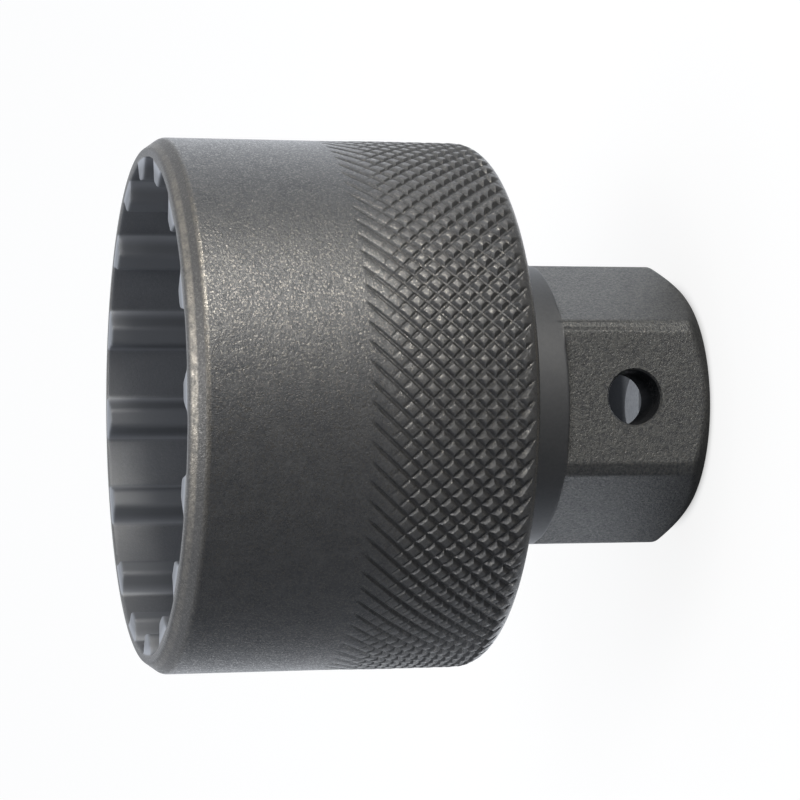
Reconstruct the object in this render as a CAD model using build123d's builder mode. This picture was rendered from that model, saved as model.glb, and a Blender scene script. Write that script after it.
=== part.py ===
from build123d import *
import math
import os

# Notched socket for external bottom bracket cups, turned and milled from one bar of steel.
# The drive end stands on z = 0, the notched mouth faces up, and the cross hole runs along Y.

# Whole tool, in millimetres
overall_length = 50.0

# Cup and its mouth
cup_diameter = 48.0
cup_length = 30.2
cup_depth = 24.0
cup_wall = 1.75
floor_fillet = 0.8
mouth_chamfer_width = 1.0
mouth_chamfer_length = 1.4
mouth_face_round = 0.5
mouth_side_round = 0.3
back_round = 2.0
neck_fillet = 1.1

# Driving teeth, for cups of 44 mm with 16 notches
tooth_count = 16
tooth_height = 1.85
tooth_length = 10.0
tooth_base_width = 3.8
tooth_tip_width = 1.7
tooth_tip_round = 0.6

# Shank, with six flats for a wrench
shank_diameter = 25.9
hex_flat_depth = 1.45
hex_length = 14.0
end_chamfer_width = 2.25
end_chamfer_length = 1.8
end_face_round = 0.6
end_side_round = 1.0

# Square drive, with a cross hole for the detent ball
drive_square = 12.8
drive_corner_round = 0.5
drive_lead_width = 2.2
drive_bevel = 0.25
cross_hole_diameter = 4.8
cross_hole_from_end = 7.5
cross_hole_bevel = 0.25

# Diamond knurl, rolled round the back half of the cup
knurl_start = 15.0
knurl_count = 90
knurl_bands = 16
knurl_groove_depth = 0.5
knurl_growth = 0.12
knurl_fade_bands = 3
knurl_core_wall = 0.75
knurl_seat = 0.03

# Sizes that follow from those above
cup_radius = cup_diameter / 2
back_z = overall_length - cup_length
floor_z = overall_length - cup_depth
shank_radius = shank_diameter / 2
hex_across_flats = shank_diameter - 2 * hex_flat_depth
root_radius = cup_radius - cup_wall
tip_radius = root_radius - tooth_height
valley_radius = cup_radius - knurl_groove_depth
round_centre_z = back_z + back_round
round_drop = back_round - knurl_groove_depth
knurl_low_z = round_centre_z - math.sqrt(back_round**2 - round_drop**2)
knurl_high_z = overall_length - knurl_start
knurl_core_radius = root_radius + knurl_core_wall
band_height = (knurl_high_z - knurl_low_z) / knurl_bands
half_pitch = math.pi / knurl_count


def knurl_radius(band, on_crest):
    """Radius of a knurl crest or valley, counted in bands up from the rounded back edge."""
    height = band * band_height
    share = band / knurl_bands
    below_round = max(0.0, round_centre_z - knurl_low_z - height)
    round_radius = cup_radius - back_round + math.sqrt(back_round**2 - below_round**2)
    fade = min(1.0, (knurl_bands - band) / knurl_fade_bands)
    crest = cup_radius + knurl_growth * math.sin(math.pi * share)
    if band in (0, knurl_bands):
        return min(round_radius, cup_radius) - knurl_seat
    if on_crest:
        return min(crest, round_radius + knurl_growth)
    return cup_radius - knurl_seat - fade * (knurl_groove_depth - knurl_seat)


def knurl_point(band, step):
    """Corner of the knurl: crests and valleys take turns round a band and from band to band."""
    radius = knurl_radius(band, (band + step) % 2 == 0)
    angle = step * half_pitch
    return Vector(radius * math.cos(angle), radius * math.sin(angle), knurl_low_z + band * band_height)


def knurl_facets():
    """Triangles of the diamonds, two on each side of every groove between neighbouring bands."""
    facets = []
    for band in range(knurl_bands):
        for step in range(2 * knurl_count):
            here = knurl_point(band, step)
            beside = knurl_point(band, step + 1)
            above = knurl_point(band + 1, step)
            above_beside = knurl_point(band + 1, step + 1)
            if (band + step) % 2 == 0:
                corners = ((here, beside, above), (beside, above_beside, above))
            else:
                corners = ((here, beside, above_beside), (here, above_beside, above))
            facets += [Face(Wire.make_polygon(corner, close=True)) for corner in corners]
    return facets


def knurl_end(band):
    """Flat ring that closes the knurled sleeve at its first or last band."""
    rim = Wire.make_polygon([knurl_point(band, step) for step in range(2 * knurl_count)], close=True)
    z = knurl_low_z + band * band_height
    hole = Wire.make_circle(knurl_core_radius, Plane.XY.offset(z))
    return Face(rim, [hole])


def knurl_sleeve():
    """Knurled ring that fills the groove left for it in the turned cup."""
    core = Solid.make_cylinder(knurl_core_radius, knurl_high_z - knurl_low_z, Plane.XY.offset(knurl_low_z))
    inner_wall = core.faces().filter_by(GeomType.CYLINDER)
    return Solid(Shell(knurl_facets() + [knurl_end(0), knurl_end(knurl_bands)] + list(inner_wall)))


sleeve = knurl_sleeve()

# One tooth, drawn on the +X axis with its foot inside the cup's wall
with BuildSketch(mode=Mode.PRIVATE) as tooth:
    with BuildLine():
        Polyline(
            (root_radius + knurl_core_wall / 2, tooth_base_width / 2),
            (root_radius, tooth_base_width / 2),
            (tip_radius, tooth_tip_width / 2),
            (tip_radius, -tooth_tip_width / 2),
            (root_radius, -tooth_base_width / 2),
            (root_radius + knurl_core_wall / 2, -tooth_base_width / 2),
            close=True,
        )
    make_face()
    tip_corners = tooth.vertices().group_by(Axis.X)[0]
    fillet(tip_corners, tooth_tip_round)

with BuildPart() as socket:
    # Turned outline from the drive end to the mouth, with the groove that the knurl fills
    with BuildSketch(Plane.XZ) as turning:
        with BuildLine():
            end_face_corner = (shank_radius - end_chamfer_width, 0)
            end_side_corner = (shank_radius, end_chamfer_length)
            mouth_face_corner = (cup_radius - mouth_chamfer_width, overall_length)
            mouth_side_corner = (cup_radius, overall_length - mouth_chamfer_length)
            round_start = (cup_radius - back_round, back_z)
            round_end = (valley_radius, knurl_low_z)
            Polyline(
                (0, floor_z),
                (0, 0),
                end_face_corner,
                end_side_corner,
                (shank_radius, back_z),
                round_start,
            )
            TangentArc(round_start, round_end, tangent=(1, 0))
            Polyline(
                round_end,
                (knurl_core_radius, knurl_low_z),
                (knurl_core_radius, knurl_high_z),
                (cup_radius, knurl_high_z),
                mouth_side_corner,
                mouth_face_corner,
                (root_radius, overall_length),
                (root_radius, floor_z),
                (0, floor_z),
            )
        make_face()
        for corner, radius in (
            (end_face_corner, end_face_round),
            (end_side_corner, end_side_round),
            (mouth_face_corner, mouth_face_round),
            (mouth_side_corner, mouth_side_round),
        ):
            fillet(turning.vertices().sort_by_distance(Vector(*corner))[0], radius)
    revolve(axis=Axis.Z)

    # Fillet where the shank runs into the back of the cup
    neck_edges = socket.edges().filter_by(GeomType.CIRCLE).filter_by(
        lambda edge: abs(edge.radius - shank_radius) < 0.01 and abs(edge.center().Z - back_z) < 0.01
    )
    fillet(neck_edges, neck_fillet)

    # Fillet round the cup's floor
    floor_edges = socket.edges().filter_by(GeomType.CIRCLE).filter_by(
        lambda edge: abs(edge.radius - root_radius) < 0.01 and abs(edge.center().Z - floor_z) < 0.01
    )
    fillet(floor_edges, floor_fillet)

    # Teeth round the mouth
    with BuildSketch(Plane.XY.offset(overall_length - tooth_length)):
        with PolarLocations(0, tooth_count, start_angle=90):
            add(tooth.sketch)
    extrude(amount=tooth_length)

    # Six flats on the shank
    with BuildSketch(Plane.XY):
        Circle(shank_radius + 1)
        RegularPolygon(hex_across_flats / 2, 6, major_radius=False, mode=Mode.SUBTRACT)
    extrude(amount=hex_length, mode=Mode.SUBTRACT)

    # Square drive right through to the cup, with a turned lead
    with BuildSketch(Plane.XY):
        RectangleRounded(drive_square, drive_square, drive_corner_round)
    extrude(amount=floor_z, mode=Mode.SUBTRACT)
    drive_rim = socket.edges().filter_by(
        lambda edge: abs(edge.center().Z - floor_z) < 0.01
        and math.hypot(edge.center().X, edge.center().Y) < drive_square
    )
    chamfer(drive_rim, drive_bevel)
    with BuildSketch(Plane.XZ):
        with BuildLine():
            Polyline(
                (0, 0),
                (drive_square / 2 + drive_lead_width, 0),
                (0, drive_square / 2 + drive_lead_width),
                close=True,
            )
        make_face()
    revolve(axis=Axis.Z, mode=Mode.SUBTRACT)

    # Cross hole through both walls
    with BuildSketch(Plane.XZ):
        with Locations((0, cross_hole_from_end)):
            Circle(cross_hole_diameter / 2)
    extrude(amount=shank_radius, both=True, mode=Mode.SUBTRACT)
    hole_rims = socket.edges().filter_by(
        lambda edge: abs(abs(edge.center().Y) - hex_across_flats / 2) < 0.01
        and edge.geom_type == GeomType.CIRCLE
        and abs(edge.radius - cross_hole_diameter / 2) < 0.01
    )
    chamfer(hole_rims, cross_hole_bevel)

    # Knurl
    add(sleeve)

socket.part.label = "bottom_bracket_tool"
os.makedirs("parts", exist_ok=True)
export_step(socket.part, "parts/bottom_bracket_tool.step")
print("volume", round(socket.part.volume, 1), "solids", len(socket.part.solids()))
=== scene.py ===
import math
from types import SimpleNamespace

import bmesh
import bpy
import numpy as np
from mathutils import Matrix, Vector


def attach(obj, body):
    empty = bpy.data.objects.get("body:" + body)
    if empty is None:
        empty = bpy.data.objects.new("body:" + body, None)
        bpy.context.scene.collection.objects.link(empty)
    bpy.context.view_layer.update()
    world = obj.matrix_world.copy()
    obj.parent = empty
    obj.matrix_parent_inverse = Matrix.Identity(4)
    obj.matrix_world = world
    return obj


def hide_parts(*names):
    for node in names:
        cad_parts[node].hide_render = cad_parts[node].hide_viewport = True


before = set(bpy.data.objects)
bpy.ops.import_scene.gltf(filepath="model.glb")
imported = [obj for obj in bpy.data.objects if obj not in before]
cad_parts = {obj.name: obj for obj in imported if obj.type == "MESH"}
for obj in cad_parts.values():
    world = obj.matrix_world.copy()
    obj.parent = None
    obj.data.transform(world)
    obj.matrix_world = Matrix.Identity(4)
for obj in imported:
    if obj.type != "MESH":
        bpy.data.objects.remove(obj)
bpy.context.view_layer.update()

# Sizes of the tool in millimetres, as in its CAD source
MM = 0.001
LENGTH = 50.0
CUP_RADIUS = 24.0
BACK_Z = 19.8
FLOOR_Z = 26.0
BACK_ROUND = 2.0
NECK_FILLET = 1.1
FLOOR_FILLET = 0.8
MOUTH_CHAMFER = (1.0, 1.4)
ROOT_RADIUS = 22.25
TOOTH_HEIGHT = 1.85
TOOTH_BASE = 3.8
TOOTH_TIP = 1.7
TOOTH_ROUND = 0.6
TOOTH_LENGTH = 10.0
TOOTH_COUNT = 16
SHANK_RADIUS = 12.95
HEX_HALF = 11.5
HEX_LENGTH = 14.0
END_CHAMFER = (2.25, 1.8)
END_FACE_ROUND = 0.6
END_SIDE_ROUND = 1.0
SQUARE_HALF = 6.4
SQUARE_CORNER = 0.5
DRIVE_BEVEL = 0.25
LEAD_RADIUS = 8.6
HOLE_RADIUS = 2.4
HOLE_Z = 7.5
KNURL_COUNT = 90
KNURL_ROWS = 8
KNURL_TOP = 35.0
KNURL_DEPTH = 0.5
KNURL_WALL = 0.75

# Sizes that follow from those above
TIP_RADIUS = ROOT_RADIUS - TOOTH_HEIGHT
ROUND_CENTRE_Z = BACK_Z + BACK_ROUND
KNURL_LOW = ROUND_CENTRE_Z - math.sqrt(BACK_ROUND**2 - (BACK_ROUND - KNURL_DEPTH) ** 2)
KNURL_CORE = ROOT_RADIUS + KNURL_WALL

# Edges that are softer or crisper than in the CAD source, in millimetres
MOUTH_SIDE_ROUND = 0.9
MOUTH_FACE_ROUND = 0.6
TOOTH_EDGE_ROUND = 0.2
TOOTH_FOOT_ROUND = 0.35
TOOTH_FOOT_INSET = 0.08
FLAT_END_ROUNDS = (0.2, 0.3)
FLAT_EDGE_INSET = 0.14
FLAT_EDGE_SOFTNESS = 0.05
HOLE_BEVEL = 0.22

# Columns of points round the body, how many of them half a land of the hex and half a corner of the drive
# take, and the rings on the round of the cup's back
COLUMNS = 720
LAND_COLUMNS = 7
CORNER_COLUMNS = 10
BACK_ROUND_RINGS = 9

# Rings that keep the faces beside an edge flat, in millimetres past that edge
LEAD_LAND = 0.6
LEAD_HOLD = 0.15
SHANK_HOLD = 0.8
BACK_LAND = 3.0
MOUTH_LAND = 0.3

# Step from the roots back to the wall behind the teeth, and a ring on the cup's floor clear of the drive
TOOTH_WALL_STEP = 0.02
FLOOR_RING = SQUARE_HALF * 1.7

# An arc and its support take at most these shares of the shorter side, which is never taken as 0
ARC_SHARE = 0.42
SUPPORT_SHARE = 0.1
SHORTEST = 1e-9

# How close the columns stand along half a tooth, from its middle to the middle of the bay
CLOSENESS_PLACES = (0.0, 0.15, 0.35, 0.55, 0.75, 1.0)
CLOSENESS = (1.0, 2.2, 1.0, 1.0, 2.2, 0.7)
TOOTH_SAMPLES = 200

# Cutter of the cross hole, in millimetres past the flats and the hole's wall
CUTTER_SIDES = 96
CUTTER_EXTRA = 0.6
BEVEL_BEND = (0.1, 0.04)
BEVEL_END = 0.12

# Points closer than this are joined, in metres
BODY_WELD = 2e-6
CUTTER_WELD = 1e-7
CUT_WELD = 1e-6

# Edges sharper than this stay crisp, in degrees
BODY_SHARP = 42
KNURL_SHARP = 24

# Grooves of the knurl across: grid lines in a pitch, and half widths in pitches
GRID_LINES = 8
GROOVE_FLOOR = 0.055
CREST_BEVEL = 0.05
EVEN_WIDTH = 0.25
END_WIDTH = 0.1

# Grooves of the knurl down, in millimetres: depth for a pitch of wall, the bevel's drop, which is at most
# a share of the groove's depth, and the depth that the shader takes as full
WALL_SLOPE = 1.52
BEVEL_DROP = 0.02
BEVEL_SHARE = 0.2
FULL_DEPTH = 0.4

# The two families of grooves: what their half width gains between two distances from the knurl's top,
# and the distances from its top and from its low edge over which they reach their depth
WIDTH_FADE = (0.0, 1.0)
RIGHT_HAND = SimpleNamespace(
    gains=((0.06, 0.0, 1.2), (0.09, 1.0, 6.0), (0.05, 5.0, 12.0)), top_fade=(0.0, 0.6), low_fade=(0.2, 1.4)
)
LEFT_HAND = SimpleNamespace(
    gains=((0.08, 1.0, 6.0), (0.14, 5.0, 13.0)), top_fade=(0.8, 4.5), low_fade=(0.0, 0.6)
)

# How far the knurl swells past the cup, and over which distances from its top and its low edge
KNURL_SWELL = 0.06
SWELL_TOP_FADE = (1.0, 6.0)
SWELL_LOW_FADE = (0.0, 2.0)


def smooth(x, low, high):
    """0 below low, 1 above high and a smooth step between."""
    t = np.clip((np.asarray(x, float) - low) / (high - low), 0, 1)
    return t * t * (3 - 2 * t)


def rounded(points, radii, support, steps):
    """Outlines of shape (columns, corners, 2) with each inner corner turned into an arc.

    Each corner becomes a support point, an arc and a second support point."""
    points = np.asarray(points, float)
    result = [points[:, 0]]
    for i in range(1, points.shape[1] - 1):
        corner = points[:, i]
        back, ahead = points[:, i - 1] - corner, points[:, i + 1] - corner
        back_length = np.maximum(np.linalg.norm(back, axis=1), SHORTEST)
        ahead_length = np.maximum(np.linalg.norm(ahead, axis=1), SHORTEST)
        back, ahead = back / back_length[:, None], ahead / ahead_length[:, None]
        half_turn = np.arccos(np.clip(-(back * ahead).sum(1), -1, 1)) / 2
        shorter = np.minimum(back_length, ahead_length)
        reach = np.minimum(radii[i] * np.tan(half_turn), ARC_SHARE * shorter)
        extra = np.minimum(support, SUPPORT_SHARE * shorter)
        start, end = corner + back * reach[:, None], corner + ahead * reach[:, None]
        weight = np.cos(half_turn)
        result.append(corner + back * (reach + extra)[:, None])
        for step in range(steps + 1):
            u = step / steps
            share = (1 - u) ** 2, 2 * u * (1 - u) * weight, u * u
            total = share[0] + share[1] + share[2]
            middle = share[1][:, None] * corner
            result.append((share[0] * start + middle + share[2] * end) / total[:, None])
        result.append(corner + ahead * (reach + extra)[:, None])
    result.append(points[:, -1])
    return np.stack(result, 1)


def half_tooth():
    """Outline of half a tooth and half a bay, as points across and up from the middle of the tooth."""
    half_pitch = math.pi / TOOTH_COUNT
    corners = [
        (0.0, TIP_RADIUS),
        (TOOTH_TIP / 2, TIP_RADIUS),
        (TOOTH_BASE / 2, ROOT_RADIUS - TOOTH_FOOT_INSET),
        (ROOT_RADIUS * math.sin(half_pitch), ROOT_RADIUS * math.cos(half_pitch)),
    ]
    return rounded([corners], [0, TOOTH_ROUND, TOOTH_FOOT_ROUND, 0], support=0.1, steps=5)[0]


def tooth_outline():
    """The cup's inside with its 16 teeth, as one point per column."""
    half = half_tooth()
    reach = np.concatenate([[0], np.cumsum(np.linalg.norm(np.diff(half, axis=0), axis=1))])
    count = (COLUMNS // TOOTH_COUNT - 1) // 2
    samples = np.linspace(0, 1, TOOTH_SAMPLES)
    spaced = np.cumsum(np.interp(samples, CLOSENESS_PLACES, CLOSENESS))
    spaced = (spaced - spaced[0]) / (spaced[-1] - spaced[0])
    picks = np.interp(np.arange(count + 1) / (count + 0.5), spaced, samples) * reach[-1]
    side = np.stack([np.interp(picks, reach, half[:, 0]), np.interp(picks, reach, half[:, 1])], 1)
    radius = np.hypot(side[:, 0], side[:, 1])
    angle = np.arctan2(side[:, 0], side[:, 1])
    bay = angle > math.atan2(TOOTH_BASE / 2 + TOOTH_FOOT_ROUND, ROOT_RADIUS)
    radius = np.where(bay, ROOT_RADIUS, np.minimum(radius, ROOT_RADIUS))
    radii = np.concatenate([radius, radius[:0:-1]])
    angles = np.concatenate([angle, 2 * math.pi / TOOTH_COUNT - angle[:0:-1]])
    every = np.arange(TOOTH_COUNT)[:, None] * 2 * math.pi / TOOTH_COUNT
    return polar((every + angles[None]).ravel(), np.tile(radii, TOOTH_COUNT))


def outward(outline, distance):
    """The closed outline moved away from the tool's axis by a distance square to itself."""
    along = np.roll(outline, -1, 0) - np.roll(outline, 1, 0)
    along /= np.linalg.norm(along, axis=1)[:, None]
    return outline + distance * np.stack([along[:, 1], -along[:, 0]], 1)


def soft_least(a, b, softness):
    """The smaller of two values, with a soft turn where they meet."""
    return 0.5 * (a + b - math.hypot(a - b, softness))


def hex_outline():
    """Angle and radius of each column on the six flats and the round lands between them."""
    half = COLUMNS // 12
    last_flat = half - LAND_COLUMNS
    flat_width = math.sqrt(SHANK_RADIUS**2 - HEX_HALF**2) - FLAT_EDGE_INSET
    land_start = math.atan2(flat_width, HEX_HALF)
    angles, radii = [], []
    for k in range(half + 1):
        if k <= last_flat:
            across = flat_width * k / last_flat
            angles.append(math.atan2(across, HEX_HALF))
            radii.append(math.hypot(across, HEX_HALF))
        else:
            share = (k - last_flat) / (half - last_flat)
            angle = land_start + (math.pi / 6 - land_start) * share
            flat = HEX_HALF / math.cos(angle)
            angles.append(angle)
            radii.append(soft_least(SHANK_RADIUS, flat, FLAT_EDGE_SOFTNESS))
    angles = np.array(angles)
    radii = np.array(radii)
    side_angles = np.concatenate([-angles[half:0:-1], angles[:half]])
    side_radii = np.concatenate([radii[half:0:-1], radii[:half]])
    every = np.arange(6)[:, None] * math.pi / 3 + math.pi / 6
    return (every + side_angles[None]).ravel(), np.tile(side_radii, 6)


def square_outline():
    """The square drive with its rounded corners, as one point per column."""
    half = COLUMNS // 8
    last_flat = half - CORNER_COLUMNS
    straight = SQUARE_HALF - SQUARE_CORNER
    points = []
    for k in range(half + 1):
        if k <= last_flat:
            points.append((SQUARE_HALF, straight * k / last_flat))
        else:
            turn = math.pi / 4 * (k - last_flat) / CORNER_COLUMNS
            across, up = SQUARE_CORNER * math.cos(turn), SQUARE_CORNER * math.sin(turn)
            points.append((straight + across, straight + up))
    points = np.array(points)
    mirrored = points * [1, -1]
    side = np.concatenate([mirrored[half:0:-1], points[:half]])
    result = []
    for quarter in range(4):
        c = round(math.cos(quarter * math.pi / 2))
        s = round(math.sin(quarter * math.pi / 2))
        result.append(side @ np.array([[c, s], [-s, c]]))
    return np.roll(np.concatenate(result), -half, 0)


def polar(angles, radii):
    return np.column_stack([radii * np.cos(angles), radii * np.sin(angles)])


def ring(outline, z):
    z = np.broadcast_to(np.asarray(z, float), (COLUMNS,))
    return np.column_stack([outline, z])


def turned_rings(angles, outline, radii, support, steps):
    """Rings of a turned outline with rounded corners, whose columns stand at these angles."""
    profile = rounded([outline], radii, support, steps)[0]
    return [ring(polar(angles, radius), z) for radius, z in profile]


def rim_rings(outline, top, radius, steps):
    """Rings that round the edge where a flat face turns down into this outline."""
    rings = []
    for step in range(steps + 1):
        turn = step / steps * math.pi / 2
        aside, drop = radius * (1 - math.sin(turn)), radius * (1 - math.cos(turn))
        rings.append(ring(outward(outline, aside), top - drop))
    rings.append(ring(outline, top - 2 * radius))
    return rings


def shank_rings():
    """Up from the end face over the chamfer, the hex and the neck to the back of the cup."""
    angles, radii = hex_outline()
    face_radius = SHANK_RADIUS - END_CHAMFER[0]
    chamfer_z = (radii - face_radius) / (END_CHAMFER[0] / END_CHAMFER[1])
    outline = (
        (LEAD_RADIUS + LEAD_LAND, 0),
        (face_radius, 0),
        (radii, chamfer_z),
        (radii, HEX_LENGTH),
        (SHANK_RADIUS, HEX_LENGTH),
        (SHANK_RADIUS, HEX_LENGTH + SHANK_HOLD),
        (SHANK_RADIUS, BACK_Z),
        (SHANK_RADIUS + BACK_LAND, BACK_Z),
    )
    ones = np.ones(COLUMNS)
    corners = np.stack([np.stack([ones * radius, ones * z], 1) for radius, z in outline], 1)
    rounds = [0, END_FACE_ROUND, END_SIDE_ROUND, *FLAT_END_ROUNDS, 0, NECK_FILLET, 0]
    profile = rounded(corners, rounds, support=0.15, steps=6)
    return [ring(polar(angles, row[:, 0]), row[:, 1]) for row in profile.swapaxes(0, 1)]


def back_rings():
    """Round the back edge of the cup and up the core that carries the knurled band."""
    even = np.arange(COLUMNS) * 2 * math.pi / COLUMNS
    last_turn = math.asin((KNURL_LOW - ROUND_CENTRE_Z) / BACK_ROUND)
    rings = []
    for turn in np.linspace(-math.pi / 2, last_turn, BACK_ROUND_RINGS):
        radius = CUP_RADIUS - BACK_ROUND + BACK_ROUND * math.cos(turn)
        rings.append(ring(polar(even, radius), ROUND_CENTRE_Z + BACK_ROUND * math.sin(turn)))
    rings.append(ring(polar(even, KNURL_CORE), KNURL_LOW))
    rings.append(ring(polar(even, KNURL_CORE), KNURL_TOP))
    return rings


def mouth_rings():
    """Up the plain band, over the mouth, down the teeth and the wall behind them to the cup's floor."""
    teeth = tooth_outline()
    columns = np.arctan2(teeth[:, 1], teeth[:, 0])
    mouth = (
        (CUP_RADIUS, KNURL_TOP),
        (CUP_RADIUS, LENGTH - MOUTH_CHAMFER[1]),
        (CUP_RADIUS - MOUTH_CHAMFER[0], LENGTH),
        (ROOT_RADIUS + MOUTH_LAND, LENGTH),
    )
    wall = (
        (ROOT_RADIUS + TOOTH_WALL_STEP, LENGTH - TOOTH_LENGTH),
        (ROOT_RADIUS + TOOTH_WALL_STEP, FLOOR_Z),
        (FLOOR_RING, FLOOR_Z),
    )
    rings = turned_rings(columns, mouth, [0, MOUTH_SIDE_ROUND, MOUTH_FACE_ROUND, 0], support=0.2, steps=6)
    rings += rim_rings(teeth, LENGTH, TOOTH_EDGE_ROUND, steps=3)
    rings.append(ring(teeth, LENGTH - TOOTH_LENGTH))
    rings += turned_rings(columns, wall, [0, FLOOR_FILLET, 0], support=0.15, steps=5)
    return rings


def body_rings():
    """Closed loops of points from the end face up the outside, into the mouth and back down the drive."""
    square = square_outline()
    square_radii = np.hypot(square[:, 0], square[:, 1])
    lead = np.maximum(LEAD_RADIUS, square_radii)
    lead_z = lead - square_radii
    rings = [ring(square * (lead / square_radii)[:, None], 0)]
    rings += shank_rings() + back_rings() + mouth_rings()
    rings += rim_rings(square, FLOOR_Z, DRIVE_BEVEL, steps=2)
    rings.append(ring(square, lead_z + LEAD_HOLD))
    rings.append(ring(square, lead_z))
    return rings


def mesh_object(name, points, faces):
    mesh = bpy.data.meshes.new(name)
    mesh.from_pydata([tuple(p) for p in points], [], [tuple(f) for f in faces])
    obj = bpy.data.objects.new(name, mesh)
    bpy.context.scene.collection.objects.link(obj)
    return obj


def clean(obj, weld=0.0):
    """Turns all faces outwards, after points closer than the weld are joined if one is given."""
    made = bmesh.new()
    made.from_mesh(obj.data)
    if weld:
        bmesh.ops.remove_doubles(made, verts=made.verts, dist=weld)
        bmesh.ops.dissolve_degenerate(made, dist=weld, edges=made.edges)
    bmesh.ops.recalc_face_normals(made, faces=made.faces)
    made.to_mesh(obj.data)
    made.free()


def shade(obj, degrees):
    for polygon in obj.data.polygons:
        polygon.use_smooth = True
    obj.data.set_sharp_from_angle(angle=math.radians(degrees))


def hole_cutter():
    """A round bar along Y through both walls of the shank, flared at both flats."""
    flare = (
        (HOLE_RADIUS + HOLE_BEVEL + CUTTER_EXTRA, HEX_HALF + CUTTER_EXTRA),
        (HOLE_RADIUS + HOLE_BEVEL, HEX_HALF),
        (HOLE_RADIUS + BEVEL_BEND[0], HEX_HALF - HOLE_BEVEL + BEVEL_BEND[1]),
        (HOLE_RADIUS, HEX_HALF - HOLE_BEVEL - BEVEL_END),
    )
    profile = [(radius, -y) for radius, y in flare] + list(flare[::-1])
    points, faces = [], []
    for radius, y in profile:
        for k in range(CUTTER_SIDES):
            turn = 2 * math.pi * (k + 0.5) / CUTTER_SIDES
            z = HOLE_Z + radius * math.sin(turn)
            points.append((radius * math.cos(turn) * MM, y * MM, z * MM))
    last = (len(profile) - 1) * CUTTER_SIDES
    for row in range(0, last, CUTTER_SIDES):
        for k in range(CUTTER_SIDES):
            a, b = row + k, row + (k + 1) % CUTTER_SIDES
            faces.append((a, b, b + CUTTER_SIDES, a + CUTTER_SIDES))
    faces.append(range(CUTTER_SIDES))
    faces.append(range(last, last + CUTTER_SIDES))
    cutter = mesh_object("hole_cutter", points, faces)
    clean(cutter, CUTTER_WELD)
    return cutter


def cut_hole(body):
    """Takes the cross hole out of the body."""
    cutter = hole_cutter()
    cut = body.modifiers.new("cross_hole", "BOOLEAN")
    cut.operation = "DIFFERENCE"
    cut.solver = "EXACT"
    cut.object = cutter
    graph = bpy.context.evaluated_depsgraph_get()
    made = bpy.data.meshes.new_from_object(body.evaluated_get(graph))
    body.modifiers.clear()
    body.data = made
    bpy.data.objects.remove(cutter)


def build_body():
    rings = body_rings()
    faces = []
    for row in range(len(rings)):
        here, above = row * COLUMNS, (row + 1) % len(rings) * COLUMNS
        for k in range(COLUMNS):
            beside = (k + 1) % COLUMNS
            faces.append((here + k, here + beside, above + beside, above + k))
    body = mesh_object("socket_body", np.concatenate(rings) * MM, faces)
    clean(body, BODY_WELD)
    cut_hole(body)
    clean(body, CUT_WELD)
    shade(body, BODY_SHARP)
    return body


def grid_place(line, width):
    """Phase of a grid line whose groove has this half width, in pitches."""
    places = (
        0.0,
        GROOVE_FLOOR,
        width,
        width + CREST_BEVEL,
        0.5,
        1 - width - CREST_BEVEL,
        1 - width,
        1 - GROOVE_FLOOR,
    )
    return line // GRID_LINES + np.choose(line % GRID_LINES, places)


def groove_cut(line, depth):
    """Depth of a grid line below the crests: a flat floor, a steep wall and a slight bevel on top."""
    place = line % GRID_LINES
    on_floor = (place <= 1) | (place == GRID_LINES - 1)
    on_bevel = (place == 2) | (place == GRID_LINES - 2)
    bevel = np.minimum(BEVEL_DROP, BEVEL_SHARE * depth)
    return np.select([on_floor, on_bevel], [depth, bevel], 0.0)


def groove_width(family, into, back):
    """Half width of a family's grooves in pitches, at these distances from the top and the low edge."""
    gained = sum(gain * smooth(into, low, high) for gain, low, high in family.gains)
    return END_WIDTH + smooth(back, *WIDTH_FADE) * gained


def groove_depth(family, width, into, back):
    """Depth of a family's grooves in millimetres, at these distances from the top and the low edge."""
    full = (width - GROOVE_FLOOR) * WALL_SLOPE
    return full * smooth(into, *family.top_fade) * smooth(back, *family.low_fade)


def knurl_height(p, q):
    """Height of the crossing of two grid lines, whose phases rise along opposite helices."""
    return KNURL_LOW + (q - p) / 2 / KNURL_ROWS * (KNURL_TOP - KNURL_LOW)


def knurl_surface(i, j):
    """Points of the knurl where grid lines i and j cross, and how far they lie below the crests."""
    even = np.full(i.shape, EVEN_WIDTH)
    z = knurl_height(grid_place(i, even), grid_place(j, even))
    into, back = KNURL_TOP - z, z - KNURL_LOW
    wide_p = groove_width(RIGHT_HAND, into, back)
    wide_q = groove_width(LEFT_HAND, into, back)
    p, q = grid_place(i, wide_p), grid_place(j, wide_q)
    z = knurl_height(p, q)
    turn = (p + q) / 2 * 2 * math.pi / KNURL_COUNT
    into, back = KNURL_TOP - z, z - KNURL_LOW
    cut_p = groove_cut(i, groove_depth(RIGHT_HAND, wide_p, into, back))
    cut_q = groove_cut(j, groove_depth(LEFT_HAND, wide_q, into, back))
    cut = np.maximum(cut_p, cut_q)
    below = np.clip(ROUND_CENTRE_Z - z, 0, BACK_ROUND)
    base = CUP_RADIUS - BACK_ROUND + np.sqrt(BACK_ROUND**2 - below**2)
    swell = KNURL_SWELL * smooth(into, *SWELL_TOP_FADE) * smooth(back, *SWELL_LOW_FADE)
    radius = base + swell - cut
    points = np.stack([radius * np.cos(turn), radius * np.sin(turn), z], 2)
    return points.reshape(-1, 3), cut


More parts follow.
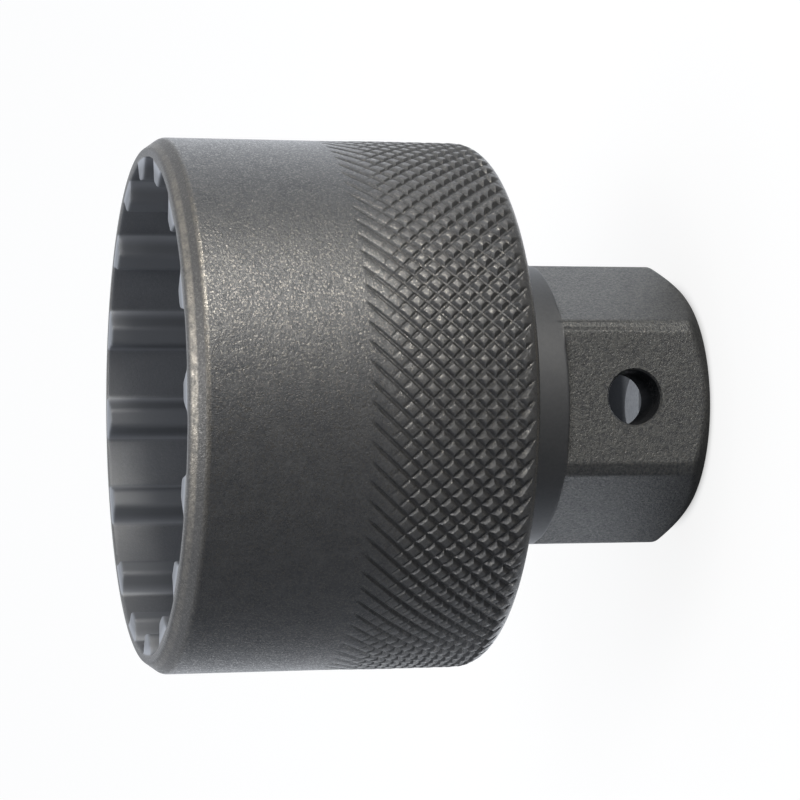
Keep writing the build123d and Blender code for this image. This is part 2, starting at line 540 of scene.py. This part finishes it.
def knurl_faces(index):
    """Two triangles for each mesh of the grid, split by the line to the nearest crossing of grooves."""
    around, rows = index.shape
    half = GRID_LINES // 2
    faces = []
    for column in range(around):
        beside = (column + 1) % around
        low_p = column % GRID_LINES < half
        for row in range(rows):
            corner, across = index[column, row], index[beside, row]
            if row == 0:
                faces.append((corner, across, index[column, 1]))
                continue
            side = index[beside, row - 1]
            if row == rows - 1:
                faces.append((corner, side, across))
                continue
            up = index[column, row + 1]
            if low_p == ((column + row) % GRID_LINES < half):
                faces.append((corner, side, across))
                faces.append((corner, across, up))
            else:
                faces.append((corner, side, up))
                faces.append((side, across, up))
    return faces


def rim_on_core(rim, height):
    """Points on the cup's core beside the points of one rim of the knurl."""
    away = np.hypot(rim[:, 0], rim[:, 1])[:, None]
    return np.column_stack([rim[:, :2] / away * KNURL_CORE, np.full(len(rim), height)])


def closing_faces(index):
    """The flat rings at both ends of the band, and the wall that closes it towards the core."""
    around, rows = index.shape
    low_start = index.size
    high_start = low_start + around
    # The slant of the grid turns the high rim's columns by half of the rows
    turned = around - (rows - 1) // 2
    faces = []
    for column in range(around):
        beside = (column + 1) % around
        low, low_beside = low_start + column, low_start + beside
        high, high_beside = high_start + column, high_start + beside
        over, over_beside = high_start + (column + turned) % around, high_start + (beside + turned) % around
        faces.append((index[column, 0], low, low_beside, index[beside, 0]))
        faces.append((index[column, -1], index[beside, -1], high_beside, high))
        faces.append((low, over, over_beside, low_beside))
    return faces


def build_knurl():
    around, along = KNURL_COUNT * GRID_LINES, 2 * KNURL_ROWS * GRID_LINES
    i = np.arange(around)[:, None] + np.zeros((1, along + 1), int)
    j = i + np.arange(along + 1)[None, :]
    surface, cut = knurl_surface(i, j)
    index = np.arange(i.size).reshape(i.shape)
    rims = [rim_on_core(surface[index[:, 0]], KNURL_LOW), rim_on_core(surface[index[:, -1]], KNURL_TOP)]
    points = np.concatenate([surface] + rims) * MM
    band = mesh_object("knurl_band", points, knurl_faces(index) + closing_faces(index))
    clean(band)
    values = np.zeros(len(points), np.float32)
    values[: len(surface)] = np.clip(cut / FULL_DEPTH, 0, 1).ravel()
    attribute = band.data.attributes.new("groove_depth", "FLOAT", "POINT")
    attribute.data.foreach_set("value", values)
    shade(band, KNURL_SHARP)
    return band


class Nodes:
    """Small helper that adds shader nodes and joins them."""

    def __init__(self, owner):
        owner.use_nodes = True
        self.tree = owner.node_tree
        self.tree.nodes.clear()

    def add(self, kind, settings=None, inputs=None):
        node = self.tree.nodes.new(kind)
        for key, value in (settings or {}).items():
            setattr(node, key, value)
        for key, value in (inputs or {}).items():
            socket = node.inputs[key]
            if isinstance(value, bpy.types.NodeSocket):
                self.tree.links.new(value, socket)
            else:
                socket.default_value = value
        return node

    def math(self, operation, a, b=0.0, clamp=False):
        settings = {"operation": operation, "use_clamp": clamp}
        return self.add("ShaderNodeMath", settings, {0: a, 1: b}).outputs[0]

    def plus(self, a, b, clamp=False):
        return self.math("ADD", a, b, clamp)

    def minus(self, a, b, clamp=False):
        return self.math("SUBTRACT", a, b, clamp)

    def times(self, a, b):
        return self.math("MULTIPLY", a, b)

    def larger(self, a, b):
        return self.math("MAXIMUM", a, b)

    def distance(self, a, b):
        """Length across two lengths that are square to each other."""
        return self.math("SQRT", self.plus(self.times(a, a), self.times(b, b)))

    def facing(self, vector, direction):
        """0 where a unit vector points away from the direction and 1 where it points along it."""
        dot = self.add("ShaderNodeVectorMath", {"operation": "DOT_PRODUCT"}, {0: vector, 1: direction})
        return self.plus(0.5, self.times(dot.outputs["Value"], 0.5))

    def ramp(self, value, stops):
        node = self.add("ShaderNodeValToRGB", None, {"Fac": value})
        elements = node.color_ramp.elements
        while len(elements) < len(stops):
            elements.new(0.5)
        for element, (position, colour) in zip(elements, stops):
            element.position = position
            element.color = colour
        return node.outputs["Color"]

    def smooth_step(self, value, start, end, at_start, at_end):
        settings = {"interpolation_type": "SMOOTHSTEP"}
        inputs = {0: value, 1: start, 2: end, 3: at_start, 4: at_end}
        return self.add("ShaderNodeMapRange", settings, inputs).outputs[0]

    def span(self, value, ends):
        """0 at the first end and 1 at the second, both in millimetres."""
        first, second = ends
        if first < second:
            return self.smooth_step(value, first * MM, second * MM, 0.0, 1.0)
        return self.smooth_step(value, second * MM, first * MM, 1.0, 0.0)

    def mix(self, factor, a, b):
        settings = {"data_type": "RGBA", "blend_type": "MIX"}
        return self.add("ShaderNodeMix", settings, {0: factor, 6: a, 7: b}).outputs[2]

    def mix_shaders(self, factor, a, b):
        return self.add("ShaderNodeMixShader", None, {0: factor, 1: a, 2: b}).outputs[0]

    def is_camera_ray(self):
        return self.add("ShaderNodeLightPath").outputs["Is Camera Ray"]


class SurfaceNodes(Nodes):
    """Nodes of a material that goes by object coordinates, which are in metres."""

    def __init__(self, material):
        super().__init__(material)
        self.where = self.add("ShaderNodeTexCoord").outputs["Object"]
        self.x, self.y, self.z = self.add("ShaderNodeSeparateXYZ", None, {0: self.where}).outputs
        self.radius = self.distance(self.x, self.y)

    def noise(self, scale, detail, roughness):
        inputs = {"Vector": self.where, "Scale": scale, "Detail": detail, "Roughness": roughness}
        return self.add("ShaderNodeTexNoise", None, inputs).outputs["Fac"]


def grey(level, tint=(1.0, 1.0, 1.0)):
    """Colour of this level, with its red, green and blue taken up or down by the tint."""
    return (*(level * share for share in tint), 1.0)


# Noises of the steel: scale, detail and roughness
GRAIN = (3600.0, 3.0, 0.65)
FINE_GRAIN = (9000.0, 2.0, 0.6)
BLOTCHES = (700.0, 4.0, 0.6)
CLOUDS = (110.0, 2.0, 0.5)
WORN_PATCHES = (1500.0, 3.0, 0.6)
FLECK_NOISE = (5200.0, 2.0, 0.7)

# Colours of the steel; some of them are painted light or painted shade, as marked
DARK_STEEL = grey(0.06, (0.95, 1.0, 1.11))
PALE_STEEL = grey(0.105, (0.98, 1.0, 1.04))
CLOUDED_STEEL = grey(0.085, (1.0, 1.0, 0.99))
PITTED_STEEL = grey(0.125, (0.97, 1.0, 0.98))
# Painted shade at the foot of the hex's shoulder, where the flats meet the round
SHOULDER_SHADE_STEEL = grey(0.03)
RIM_STEEL = grey(0.075, (1.08, 1.0, 0.88))
FLECK_STEEL = grey(0.185, (1.04, 1.0, 0.94))
# Painted light: the inside of the cup is much paler than the outside, standing in for light that falls into
# it
INSIDE_PAINTED_LIGHT_STEEL = grey(0.34, (0.96, 1.0, 1.08))
# Painted light on the teeth inside the cup, less of it than on the wall behind them
TEETH_PAINTED_LIGHT_STEEL = grey(0.16, (0.96, 1.0, 1.07))
NECK_STEEL = grey(0.08, (0.96, 1.0, 1.09))
# Painted shade deep in the drive and on the wall of the cross hole
RECESS_SHADE_STEEL = grey(0.025, (0.93, 1.0, 1.14))
# Bare steel of the worn lines: real wear, and on the camera side a painted highlight
BARE_STEEL_AND_GLINT = grey(0.33, (1.1, 1.0, 0.84))
# Paler crests low on the knurl: real wear on them, and a painted highlight too
CREST_WEAR_AND_SHEEN_STEEL = grey(0.2, (1.04, 1.0, 0.94))
# Painted shade on the walls of the knurl's grooves
WALL_SHADE_STEEL = grey(0.055)

# Levels that noises are turned into: place on the noise, level
BASE_STOPS = ((0.38, DARK_STEEL), (0.64, PALE_STEEL))
PATCH_STOPS = ((0.36, grey(0.3)), (0.6, grey(1.0)))
PIT_STOPS = ((0.42, grey(0.0)), (0.6, grey(1.0)))
FLECK_STOPS = ((0.53, grey(0.0)), (0.61, grey(1.0)))

# Where a finish is 0 and where it is 1, in millimetres from the axis or, for HOLE_RIM, from the hole's axis
WITHIN_CUP = (22.35, 22.15)
WITHIN_TEETH = (22.2, 21.2)
WITHIN_SHANK = (12.7, 12.3)
WITHIN_DRIVE = (9.4, 9.2)
HOLE_RIM = (HOLE_RADIUS + 0.09, HOLE_RADIUS + 0.03)

# Where a finish is 0 and where it is 1, in millimetres from the drive end
ABOVE_END = (0.0, 0.2)
ABOVE_LEAD = (1.9, 2.6)
ABOVE_FLATS = (13.9, 14.3)
ABOVE_BACK = (20.2, 20.6)
ABOVE_TEETH_FEET = (39.5, 40.0)
ABOVE_CHAMFER = (48.4, 48.8)
BELOW_FLOOR = (25.85, 25.6)
DOWN_THE_SHANK = (19.0, 14.0)
# FOOT_FROM and FOOT_TO place the painted shade at the foot of the shoulder
FOOT_FROM = (13.1, 13.9)
FOOT_TO = (14.05, 14.0)
# CREST_SHINE places the crests' wear and painted highlight
CREST_SHINE = (35.0, 30.0)

# Worn lines, real wear that on the camera side is also a painted highlight: radius and height of the edge,
# how far the wear reaches from it, and its strength
WORN_LINES = (
    (23.3, 49.55, 0.42, 0.75),
    (23.95, 48.52, 0.3, 0.35),
    (22.3, 49.95, 0.25, 0.3),
    (23.3, 20.25, 0.35, 0.5),
    (11.2, 0.45, 0.9, 0.2),
)
WORN_CORE = 0.35

# The camera side, where the worn lines are strongest and serve as painted highlights, in millimetres, and
# the share of wear on the other sides
GLINT_SIDE_Y = (-11.0, -20.0)
GLINT_SIDE_X = (-16.0, -5.0)
OFF_GLINT_SIDE_SHARE = 0.3

# Shares of the noises in the steel's tone, the pits on the shank, and the flecks lost on shank and rim
GRAIN_IN_TONE = 0.6
BLOTCHES_IN_TONE = 0.4
PIT_STRENGTH = 0.65
FLECKS_LOST = 0.45

# Shine of the steel, and what the fine grain and the finishes change in it
ROUGHNESS = 0.36
FINE_ROUGHNESS = 0.16
CALM_ROUGHNESS = 0.12
SHANK_ROUGHNESS = 0.08
FLECK_ROUGHNESS = -0.15
WORN_ROUGHNESS = -0.12
METALLIC = 0.5
WORN_METALLIC = 0.5
FLECK_METALLIC = 0.35
GLOSS = 0.5
GLOSS_LOST_DEEP = 0.35
GLOSS_LOST_ON_WALLS = 0.3

# Relief of the steel: height of the grain, more of it on the shank, and how much the turned faces keep
GRAIN_HEIGHT = 0.6
SHANK_GRAIN_HEIGHT = 0.45
FINE_HEIGHT = 0.4
CALM_RELIEF = 0.15
BLASTED_RELIEF = 0.72
BUMP_DISTANCE = 0.08 * MM

# The knurl's crests, rubbed and with a painted highlight, and its walls, with painted shade
CREST_STRENGTH = 0.14
WALL_SHADE_STRENGTH = 1.5


def worn_and_glinting_edges(n):
    """Lines along the edges where the dark finish is rubbed off, which is real wear, strongest on the
    camera side, where they are painted highlights.
    """
    wear = 0.0
    for edge_radius, edge_z, width, strength in WORN_LINES:
        away = n.distance(n.minus(n.radius, edge_radius * MM), n.minus(n.z, edge_z * MM))
        near = n.smooth_step(away, width * MM, width * MM * WORN_CORE, 0.0, strength)
        wear = n.larger(wear, near)
    worn_and_glinting = n.times(wear, n.ramp(n.noise(*WORN_PATCHES), PATCH_STOPS))
    # The camera side, where the worn lines are made strongest as painted highlights
    glint_side = n.times(n.span(n.y, GLINT_SIDE_Y), n.span(n.x, GLINT_SIDE_X))
    return n.times(worn_and_glinting, n.plus(OFF_GLINT_SIDE_SHARE, n.times(glint_side, 1 - OFF_GLINT_SIDE_SHARE)))


def turned_faces(n):
    """Faces inside the cup, on the neck and in the drive, which are smoother than the blasted outside."""
    within_cup = n.span(n.radius, WITHIN_CUP)
    inside = n.times(within_cup, n.span(n.z, ABOVE_BACK))
    neck = n.times(within_cup, n.span(n.z, ABOVE_FLATS))
    neck = n.minus(neck, inside, clamp=True)
    drive = n.times(n.span(n.radius, WITHIN_DRIVE), n.span(n.z, ABOVE_END))
    drive = n.times(drive, n.span(n.z, BELOW_FLOOR))
    return inside, neck, drive


def painted_recess_shade(n, drive):
    """Painted shade in the drive past its lead and on the wall of the cross hole."""
    recess_shade = n.times(drive, n.span(n.z, ABOVE_LEAD))
    from_hole = n.distance(n.x, n.minus(n.z, HOLE_Z * MM))
    return n.larger(recess_shade, n.span(from_hole, HOLE_RIM))


def finishes(n):
    """Where each finish of the steel lies, and where painted light and shade lie, as shader values from 0
    to 1.
    """
    inside, neck, drive = turned_faces(n)
    calm = n.plus(n.plus(inside, neck), drive, clamp=True)
    blasted = n.minus(1.0, calm)
    shank = n.times(n.span(n.z, DOWN_THE_SHANK), blasted)
    rim = n.times(n.span(n.z, ABOVE_CHAMFER), blasted)
    bare = n.minus(blasted, n.times(n.larger(shank, rim), FLECKS_LOST), clamp=True)
    shoulder_shade = n.times(n.span(n.z, FOOT_FROM), n.span(n.z, FOOT_TO))
    return SimpleNamespace(
        inside=inside,
        neck=neck,
        calm=calm,
        blasted=blasted,
        shank=shank,
        rim=rim,
        flecks=n.times(n.ramp(n.noise(*FLECK_NOISE), FLECK_STOPS), bare),
        shoulder_shade=n.times(shoulder_shade, n.span(n.radius, WITHIN_SHANK)),
        teeth=n.times(n.span(n.radius, WITHIN_TEETH), n.span(n.z, ABOVE_TEETH_FEET)),
        recess_shade=painted_recess_shade(n, drive),
        worn_and_glinting=worn_and_glinting_edges(n),
    )


def steel_colour(n, finish, grain):
    """Dark steel, mottled by its grain, with the colour of each finish laid over it, and painted light and
    shade laid on as marked.
    """
    tone = n.plus(n.times(grain, GRAIN_IN_TONE), n.times(n.noise(*BLOTCHES), BLOTCHES_IN_TONE))
    base = n.ramp(tone, BASE_STOPS)
    pits = n.times(n.ramp(grain, PIT_STOPS), PIT_STRENGTH)
    # Each layer: where it lies, how strongly it covers what is below, and its colour; some layers are
    # painted light or shade
    layers = (
        (n.noise(*CLOUDS), 0.25, CLOUDED_STEEL),
        (n.times(finish.shank, pits), 1.0, PITTED_STEEL),
        # painted shade at the foot of the shoulder
        (finish.shoulder_shade, 0.6, SHOULDER_SHADE_STEEL),
        (finish.rim, 0.5, RIM_STEEL),
        (finish.flecks, 0.7, FLECK_STEEL),
        # painted light inside the cup
        (finish.inside, 0.85, INSIDE_PAINTED_LIGHT_STEEL),
        # painted light on the teeth, less than on the wall
        (finish.teeth, 0.8, TEETH_PAINTED_LIGHT_STEEL),
        (finish.neck, 0.7, NECK_STEEL),
        # painted shade in the drive and the cross hole
        (finish.recess_shade, 0.9, RECESS_SHADE_STEEL),
        # worn lines: real wear, and a painted highlight on the camera side
        (finish.worn_and_glinting, 0.8, BARE_STEEL_AND_GLINT),
    )
    for mask, strength, colour in layers:
        base = n.mix(n.times(mask, strength), base, colour)
    return base


def steel_roughness(n, finish, fine):
    rough = n.plus(ROUGHNESS, n.times(fine, FINE_ROUGHNESS))
    changes = (
        (finish.calm, CALM_ROUGHNESS),
        (finish.shank, SHANK_ROUGHNESS),
        (finish.flecks, FLECK_ROUGHNESS),
        (finish.worn_and_glinting, WORN_ROUGHNESS),
    )
    for mask, change in changes:
        rough = n.plus(rough, n.times(mask, change))
    return rough


def steel_bump(n, finish, grain, fine):
    """Fine bumps of the blasted grain, coarser on the shank and almost gone on the turned faces."""
    coarse = n.plus(GRAIN_HEIGHT, n.times(finish.shank, SHANK_GRAIN_HEIGHT))
    height = n.plus(n.times(grain, coarse), n.times(fine, FINE_HEIGHT))
    relief = n.plus(CALM_RELIEF, n.times(finish.blasted, BLASTED_RELIEF))
    inputs = {"Strength": relief, "Distance": BUMP_DISTANCE, "Height": height}
    return n.add("ShaderNodeBump", None, inputs).outputs["Normal"]


def groove_look(n, base, gloss):
    """Crests that are a little rubbed low on the knurl and painted paler as a highlight, and duller walls
    of the grooves that carry painted shade.
    """
    depth = n.add("ShaderNodeAttribute", {"attribute_name": "groove_depth"}).outputs["Fac"]
    above = n.minus(1.0, depth)
    # Rubbed crests that also carry a painted highlight
    crest_wear_and_sheen = n.times(above, n.span(n.z, CREST_SHINE))
    # The walls of the grooves carry painted shade
    wall = n.times(n.times(depth, above), WALL_SHADE_STRENGTH)
    base = n.mix(n.times(crest_wear_and_sheen, CREST_STRENGTH), base, CREST_WEAR_AND_SHEEN_STEEL)
    base = n.mix(wall, base, WALL_SHADE_STEEL)
    return base, n.minus(gloss, n.times(wall, GLOSS_LOST_ON_WALLS), clamp=True)


def steel(name, knurled):
    """Blasted, phosphated steel: dark and grainy, paler and smoother along its worn edges, with painted
    highlights on them toward the camera, painted light inside the cup and painted shade in its recesses.
    """
    material = bpy.data.materials.new(name)
    n = SurfaceNodes(material)
    grain, fine = n.noise(*GRAIN), n.noise(*FINE_GRAIN)
    finish = finishes(n)
    base = steel_colour(n, finish, grain)
    gloss = n.minus(GLOSS, n.times(finish.recess_shade, GLOSS_LOST_DEEP))
    if knurled:
        base, gloss = groove_look(n, base, gloss)
    bright = n.larger(n.times(finish.worn_and_glinting, WORN_METALLIC), n.times(finish.flecks, FLECK_METALLIC))
    shader = n.add("ShaderNodeBsdfPrincipled", None, {
        "Base Color": base,
        "Metallic": n.plus(METALLIC, bright),
        "Roughness": steel_roughness(n, finish, fine),
        "Specular IOR Level": gloss,
        "Normal": steel_bump(n, finish, grain, fine),
    })
    n.add("ShaderNodeOutputMaterial", None, {"Surface": shader.outputs["BSDF"]})
    return material


# Floor as the tool reflects it: how bright it is from the dark side round to the bright side
BRIGHT_SIDE = (0.347, 0.938, 0.0)
FLOOR_STOPS = ((0.2, grey(0.02)), (0.56, grey(0.15)), (0.735, grey(1.0)), (0.9, grey(1.65)))
FLOOR_TINT = (0.95, 0.99, 1.05, 1.0)
FLOOR_STRENGTH = 1.15

# Floor under the tool, and a pool of light beside it, in millimetres
UNDER_TOOL = (12.0, 9.0)
UNDER_GLOW = 0.11
POOL_X = (-12.0, -40.0)
POOL_Y = (-18.0, 4.0)
POOL_RADIUS = (85.0, 50.0)
POOL_GLOW = 1.9

# Paper of the floor, the share that the camera sees as plain white, the share that glows to the tool,
# and its half width in metres
PAPER = grey(0.88)
WHITE = grey(1.0)
WASHED_OUT = 0.88
GLOWING = 0.85
FLOOR_HALF = 3.0


def floor_level(n, under):
    """How bright the tool sees each place of the floor."""
    toward = n.add("ShaderNodeVectorMath", {"operation": "NORMALIZE"}, {0: n.where}).outputs[0]
    level = n.ramp(n.facing(toward, BRIGHT_SIDE), FLOOR_STOPS)
    level = n.plus(level, n.times(under, UNDER_GLOW))
    pool = n.times(n.span(n.x, POOL_X), n.span(n.radius, POOL_RADIUS))
    pool = n.times(pool, n.span(n.y, POOL_Y))
    return n.plus(level, n.times(pool, POOL_GLOW))


def floor_material():
    """Plain white paper to the camera, and to the tool a floor that glows, brighter to one side."""
    material = bpy.data.materials.new("studio_floor")
    n = SurfaceNodes(material)
    under = n.span(n.radius, UNDER_TOOL)
    strength = n.times(floor_level(n, under), FLOOR_STRENGTH)
    paper = n.add("ShaderNodeBsdfDiffuse", None, {"Color": PAPER}).outputs[0]
    glow = n.add("ShaderNodeEmission", None, {"Color": FLOOR_TINT, "Strength": strength}).outputs[0]
    white = n.add("ShaderNodeEmission", None, {"Color": WHITE, "Strength": 1.0}).outputs[0]
    to_tool = n.mix_shaders(GLOWING, paper, glow)
    to_camera = n.mix_shaders(n.times(n.minus(1.0, under), WASHED_OUT), paper, white)
    surface = n.mix_shaders(n.is_camera_ray(), to_tool, to_camera)
    n.add("ShaderNodeOutputMaterial", None, {"Surface": surface})
    return material


def build_floor():
    half = FLOOR_HALF
    points = [(-half, -half, 0), (half, -half, 0), (half, half, 0), (-half, half, 0)]
    floor = mesh_object("studio_floor", points, [(0, 1, 2, 3)])
    floor.data.materials.append(floor_material())


# Sky, which is brightest high up behind the tool
SKY_SIDE = (0.0, 0.4, 0.916)
SKY_STOPS = ((0.48, grey(0.03)), (0.95, (0.94, 0.98, 1.05, 1.0)))
SKY_STRENGTH = 1.32


def build_world():
    """A soft sky that lights the tool, and plain white to the camera."""
    world = bpy.data.worlds.new("studio")
    bpy.context.scene.world = world
    n = Nodes(world)
    direction = n.add("ShaderNodeTexCoord").outputs["Generated"]
    level = n.ramp(n.facing(direction, SKY_SIDE), SKY_STOPS)
    light = n.add("ShaderNodeBackground", None, {"Color": level, "Strength": SKY_STRENGTH}).outputs[0]
    white = n.add("ShaderNodeBackground", None, {"Color": WHITE, "Strength": 1.0}).outputs[0]
    surface = n.mix_shaders(n.is_camera_ray(), light, white)
    n.add("ShaderNodeOutputWorld", None, {"Surface": surface})


# Lamps: name, direction from the tool, distance, width and height in metres, power and colour
LAMP_TARGET = Vector((0, 0, 0.03))
LAMPS = (
    ("key", (0.72, -0.69, 0.05), 0.42, (0.2, 0.09), 1.45, (1.0, 0.96, 0.88)),
    ("fill", (0.38, -0.92, 0.1), 0.6, (0.3, 0.12), 0.6, (1.0, 0.98, 0.94)),
    ("top", (0.1, -0.5, 0.85), 0.5, (0.2, 0.2), 0.9, (1.0, 1.0, 1.0)),
)


def area_light(name, direction, distance, size, power, colour):
    toward = Vector(direction).normalized()
    data = bpy.data.lights.new(name, "AREA")
    data.shape = "RECTANGLE"
    data.size, data.size_y = size
    data.energy = power
    data.color = colour
    lamp = bpy.data.objects.new(name, data)
    bpy.context.scene.collection.objects.link(lamp)
    lamp.location = LAMP_TARGET + toward * distance
    lamp.rotation_mode = "QUATERNION"
    lamp.rotation_quaternion = (-toward).to_track_quat("-Z", "Y")


# Camera as fitted to the photo: place and clipping in metres, sensor and lens in millimetres
CAMERA_PLACE = (-0.01334, -0.23963, 0.08876)
CAMERA_RIGHT = (-0.01702, -0.25151, -0.96771)
CAMERA_AHEAD = (0.0557, 0.9661, -0.25207)
CAMERA_SENSOR = 36.0
CAMERA_LENS = 121.5
CAMERA_CLIP = (0.01, 50.0)


def build_camera():
    data = bpy.data.cameras.new("photo_camera")
    data.sensor_width = CAMERA_SENSOR
    data.lens = CAMERA_LENS
    data.clip_start, data.clip_end = CAMERA_CLIP
    camera = bpy.data.objects.new("photo_camera", data)
    bpy.context.scene.collection.objects.link(camera)
    right = Vector(CAMERA_RIGHT).normalized()
    ahead = Vector(CAMERA_AHEAD).normalized()
    up = right.cross(ahead).normalized()
    right = ahead.cross(up).normalized()
    matrix = camera.matrix_world.to_3x3()
    matrix.col[0], matrix.col[1], matrix.col[2] = right, up, -ahead
    camera.matrix_world = matrix.to_4x4()
    camera.location = CAMERA_PLACE
    bpy.context.scene.camera = camera


body = build_body()
band = build_knurl()
body.data.materials.clear()
body.data.materials.append(steel("blasted_steel", False))
band.data.materials.append(steel("knurled_steel", True))
for piece in (body, band):
    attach(piece, "root")
    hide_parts("bottom_bracket_tool")

build_floor()
build_world()
for lamp in LAMPS:
    area_light(*lamp)
build_camera()

scene = bpy.context.scene
scene.view_settings.view_transform = "Standard"
